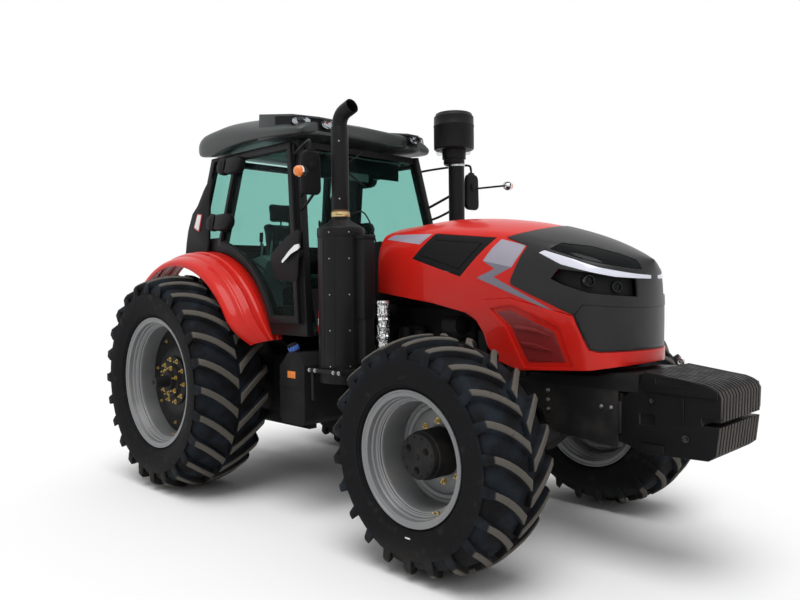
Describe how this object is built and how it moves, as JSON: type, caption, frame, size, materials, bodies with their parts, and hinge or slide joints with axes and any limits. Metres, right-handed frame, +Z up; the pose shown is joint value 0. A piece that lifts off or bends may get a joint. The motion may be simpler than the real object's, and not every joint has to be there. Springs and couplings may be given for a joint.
{
  "type": "farm tractor",
  "caption": "Four-wheel-drive farm tractor with cab, opening hood and doors, steered front wheels, front weights and a rear three-point linkage.",
  "frame": {"origin": "on the ground, half way between the front of the weights and the ball ends of the lower links, on the centre line", "axes": "+X forward, +Y to the driver's left, +Z up"},
  "size_m": [5.596, 2.785, 3.24],
  "materials": {
    "red_paint": "gloss",
    "vent_red": "satin",
    "black_plastic": "matte",
    "black_metal": "satin",
    "chassis_black": "painted, satin",
    "roof_grey": "matte",
    "tyre": "matte",
    "rim_silver": "satin",
    "tinted_glass": "clear, green tint",
    "lamp_glass": "clear",
    "lamp_red": "gloss",
    "seat_fabric": "woven",
    "console_grey": "matte",
    "bright_steel": "machined"
  },
  "bodies": {
    "root": {"gearbox": "chassis_black", "rear_axle": "chassis_black", "engine": "chassis_black", "radiator": "black_metal", "front_frame": "chassis_black", "front_axle": "chassis_black", "steering_cylinder": "black_metal", "front_weights": "chassis_black", "weight_carrier": "chassis_black", "cab_floor": "black_metal", "cab_frame": "black_metal", "cab_roof": "roof_grey", "windscreen": "tinted_glass", "rear_window": "tinted_glass", "quarter_windows": "tinted_glass", "rear_fenders": "red_paint", "cowl": "black_plastic", "muffler": "black_metal", "exhaust_stack": "black_metal", "air_intake": "black_plastic", "fuel_tank": "black_plastic", "steps": "black_metal", "urea_tank": "black_plastic", "mirrors": "black_plastic", "work_lamps": "lamp_glass", "tail_lamps": "lamp_red", "lamp_towers": "black_plastic", "seat": "seat_fabric", "console": "console_grey", "dashboard": "console_grey", "steering_wheel": "black_plastic", "top_link": "bright_steel", "drawbar": "chassis_black"},
    "hood": {"hood": "red_paint", "hood_nose": "black_plastic", "hood_grilles": "vent_red", "headlamps": "lamp_glass"},
    "door_right": {"door_right": "black_metal", "door_glass_right": "tinted_glass"},
    "door_left": {"door_left": "black_metal", "door_glass_left": "tinted_glass"},
    "knuckle_right": {"knuckle_right": "chassis_black"},
    "knuckle_left": {"knuckle_left": "chassis_black"},
    "steering_rod": {"steering_rod": "bright_steel"},
    "lift_arms": {"lift_arms": "chassis_black"},
    "lift_rods": {"lift_rods": "bright_steel"},
    "lower_links": {"lower_links": "chassis_black"},
    "rear_wheel_right": {"rear_tyre_right": "tyre", "rear_rim_right": "rim_silver", "rear_hub_right": "chassis_black"},
    "rear_wheel_left": {"rear_tyre_left": "tyre", "rear_rim_left": "rim_silver", "rear_hub_left": "chassis_black"},
    "front_wheel_right": {"front_tyre_right": "tyre", "front_rim_right": "rim_silver", "front_hub_right": "chassis_black"},
    "front_wheel_left": {"front_tyre_left": "tyre", "front_rim_left": "rim_silver", "front_hub_left": "chassis_black"}
  },
  "joints": [
    {"name": "rear_right_spin", "type": "hinge", "parent": "root", "child": "rear_wheel_right", "pos_m": [-1.6, -1.07, 0.925], "axis": [0, 1, 0], "continuous": true},
    {"name": "rear_left_spin", "type": "hinge", "parent": "root", "child": "rear_wheel_left", "pos_m": [-1.6, 1.07, 0.925], "axis": [0, 1, 0], "continuous": true},
    {"name": "steer", "type": "hinge", "parent": "root", "child": "knuckle_left", "pos_m": [1.36, 0.745, 0.725], "axis": [0, 0, 1], "range_deg": [-32, 32]},
    {"name": "steer_right", "type": "hinge", "parent": "root", "child": "knuckle_right", "pos_m": [1.36, -0.745, 0.725], "axis": [0, 0, 1], "range_deg": [-32, 32]},
    {"name": "steer_rod", "type": "slide", "parent": "root", "child": "steering_rod", "axis": [0, 1, 0], "range_m": [-0.125, 0.125]},
    {"name": "front_right_spin", "type": "hinge", "parent": "knuckle_right", "child": "front_wheel_right", "pos_m": [1.36, -1, 0.725], "axis": [0, 1, 0], "continuous": true},
    {"name": "front_left_spin", "type": "hinge", "parent": "knuckle_left", "child": "front_wheel_left", "pos_m": [1.36, 1, 0.725], "axis": [0, 1, 0], "continuous": true},
    {"name": "hood_lift", "type": "hinge", "parent": "root", "child": "hood", "pos_m": [0.305, 0, 2.11], "axis": [0, -1, 0], "range_deg": [0, 45]},
    {"name": "door_right_swing", "type": "hinge", "parent": "root", "child": "door_right", "pos_m": [-1.367, -0.8322, 2.307], "axis": [-0.2041, -0.1045, -0.9734], "range_deg": [0, 70]},
    {"name": "door_left_swing", "type": "hinge", "parent": "root", "child": "door_left", "pos_m": [-1.367, 0.8322, 2.307], "axis": [0.2041, -0.1045, 0.9734], "range_deg": [0, 70]},
    {"name": "lift", "type": "hinge", "parent": "root", "child": "lift_arms", "pos_m": [-2.005, 0, 1.19], "axis": [0, 1, 0], "range_deg": [0, 45]},
    {"name": "link_lift", "type": "hinge", "parent": "root", "child": "lower_links", "pos_m": [-1.75, 0, 0.5], "axis": [0, 1, 0], "range_deg": [0, 25]},
    {"name": "rod_hang", "type": "hinge", "parent": "lift_arms", "child": "lift_rods", "pos_m": [-2.335, 0, 1.16], "axis": [0, 1, 0], "range_deg": [-45, 0]}
  ],
  "couplings": [
    {"joint": "steer_right", "follows": "steer", "ratio": 1},
    {"joint": "steer_rod", "follows": "steer", "m_per_rad": -0.204},
    {"joint": "link_lift", "follows": "lift", "ratio": 0.54},
    {"joint": "rod_hang", "follows": "lift", "ratio": -1}
  ]
}
